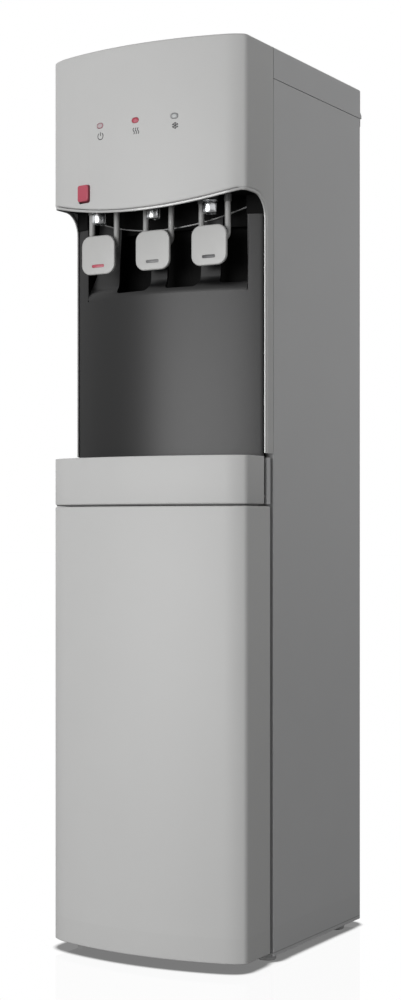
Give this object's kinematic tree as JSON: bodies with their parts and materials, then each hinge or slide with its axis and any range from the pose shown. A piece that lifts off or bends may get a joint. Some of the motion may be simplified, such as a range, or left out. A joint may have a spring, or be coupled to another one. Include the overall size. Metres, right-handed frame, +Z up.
{
  "type": "water cooler",
  "caption": "Slim floor-standing water cooler: bowed head with push taps, cup recess, drip tray, filter door and rear condenser.",
  "frame": {"origin": "on the floor under the feet, in the middle of the width and of the whole depth", "axes": "+Z up; +X to the right of someone in front of it; -Y is the front"},
  "size_m": [0.265, 0.344, 1.07],
  "materials": {
    "shell_grey": "satin silver-grey moulding",
    "side_grey": "satin grey coated steel",
    "cap_grey": "satin grey moulding",
    "recess_dark": "dark gloss moulding",
    "black_plastic": "matt black",
    "chrome": "polished",
    "paddle_grey": "fine satin",
    "lever_grey": "satin",
    "button_red": "satin red",
    "lamp_grey": "clear lens, unlit",
    "lamp_red": "clear lens, lit red",
    "zinc_sheet": "zinc-coated sheet",
    "steel": "plain steel",
    "grille_dark": "satin dark",
    "liner_grey": "moulded liner",
    "foam": "closed-cell foam",
    "rubber": "matt",
    "machine_black": "black enamel",
    "filter_white": "white moulding",
    "hose_clear": "silicone",
    "fitting_white": "acetal",
    "board_green": "circuit board",
    "copper": "copper",
    "switch_red": "moulded",
    "switch_green": "moulded"
  },
  "bodies": {
    "cabinet": {"head_fascia": "shell_grey", "top_cover": "cap_grey", "rear_grip": "black_plastic", "left_side_panel": "side_grey", "right_side_panel": "side_grey", "back_plate": "zinc_sheet", "base_pan": "zinc_sheet", "feet": "rubber", "tap_deck": "black_plastic", "recess_panel": "recess_dark", "alcove_liner": "black_plastic", "tray_housing": "shell_grey", "magnet_strike": "zinc_sheet", "hinge_pins": "steel", "lamp_board": "board_green", "filter_bay": "liner_grey", "filter_manifold": "fitting_white", "compressor": "machine_black", "compressor_mounts": "rubber", "relay_cover": "black_plastic", "filter_drier": "copper", "condenser": "machine_black", "tank_shelf": "zinc_sheet", "tank_stand": "zinc_sheet", "hot_tank": "steel", "hot_tank_jacket": "foam", "cold_tank": "steel", "cold_tank_jacket": "foam", "tap_hoses": "hose_clear", "control_box": "black_plastic", "switch_bezel": "black_plastic", "water_inlet": "fitting_white", "cord_gland": "rubber", "drain_spout": "fitting_white", "back_screws": "steel", "lever_pins": "steel", "tap_bodies": "fitting_white", "nozzles": "chrome", "power_lamp": "lamp_grey", "heating_lamp": "lamp_red", "cooling_lamp": "lamp_grey"},
    "door": {"door_outer": "shell_grey", "door_liner": "liner_grey", "door_magnet": "rubber"},
    "tray": {"drip_tray": "shell_grey"},
    "grille": {"drip_grille": "grille_dark"},
    "hot_tap_lever": {"hot_lever": "lever_grey", "hot_paddle": "paddle_grey"},
    "ambient_tap_lever": {"ambient_lever": "lever_grey", "ambient_paddle": "paddle_grey"},
    "cold_tap_lever": {"cold_lever": "lever_grey", "cold_paddle": "paddle_grey"},
    "lock_push": {"lock_button": "button_red"},
    "cold_rocker": {"cold_switch": "switch_green"},
    "hot_rocker": {"hot_switch": "switch_red"},
    "first_cartridge": {"first_filter": "filter_white"},
    "second_cartridge": {"second_filter": "filter_white"},
    "third_cartridge": {"third_filter": "filter_white"},
    "drain_screw_cap": {"drain_cap": "black_plastic"}
  },
  "joints": [
    {"name": "door_swing", "type": "hinge", "parent": "cabinet", "child": "door", "pos_m": [-0.1205, -0.10005, 0], "axis": [0, 0, -1], "range_deg": [0, 105]},
    {"name": "tray_slide", "type": "slide", "parent": "cabinet", "child": "tray", "axis": [0, -1, 0], "range_m": [0, 0.075]},
    {"name": "grille_lift", "type": "slide", "parent": "tray", "child": "grille", "axis": [0, 0, 1], "range_m": [0, 0.05]},
    {"name": "hot_lever_push", "type": "hinge", "parent": "cabinet", "child": "hot_tap_lever", "pos_m": [-0.0765, -0.12105, 0.912], "axis": [1, 0, 0], "range_deg": [0, 6], "stiffness_Nm_per_rad": 0.6, "springref_deg": -8.59},
    {"name": "ambient_lever_push", "type": "hinge", "parent": "cabinet", "child": "ambient_tap_lever", "pos_m": [0, -0.12105, 0.912], "axis": [1, 0, 0], "range_deg": [0, 6], "stiffness_Nm_per_rad": 0.6, "springref_deg": -8.59},
    {"name": "cold_lever_push", "type": "hinge", "parent": "cabinet", "child": "cold_tap_lever", "pos_m": [0.0765, -0.12105, 0.912], "axis": [1, 0, 0], "range_deg": [0, 6], "stiffness_Nm_per_rad": 0.6, "springref_deg": -8.59},
    {"name": "lock_button_press", "type": "slide", "parent": "cabinet", "child": "lock_push", "axis": [0, 1, 0], "range_m": [0, 0.003], "stiffness_N_per_m": 400, "springref_m": -0.001},
    {"name": "cold_switch_rock", "type": "hinge", "parent": "cabinet", "child": "cold_rocker", "pos_m": [-0.024, 0.15895, 0.2354], "axis": [1, 0, 0], "range_deg": [0, 16]},
    {"name": "hot_switch_rock", "type": "hinge", "parent": "cabinet", "child": "hot_rocker", "pos_m": [0.024, 0.15895, 0.2354], "axis": [1, 0, 0], "range_deg": [0, 16]},
    {"name": "first_filter_twist", "type": "hinge", "parent": "cabinet", "child": "first_cartridge", "pos_m": [-0.076, -0.03805, 0.3], "axis": [0, 0, 1], "range_deg": [0, 90]},
    {"name": "second_filter_twist", "type": "hinge", "parent": "cabinet", "child": "second_cartridge", "pos_m": [0, -0.03805, 0.3], "axis": [0, 0, 1], "range_deg": [0, 90]},
    {"name": "third_filter_twist", "type": "hinge", "parent": "cabinet", "child": "third_cartridge", "pos_m": [0.076, -0.03805, 0.3], "axis": [0, 0, 1], "range_deg": [0, 90]},
    {"name": "drain_cap_turn", "type": "hinge", "parent": "cabinet", "child": "drain_screw_cap", "pos_m": [0, 0.16295, 0.11], "axis": [0, 1, 0], "range_deg": [0, 180]}
  ]
}
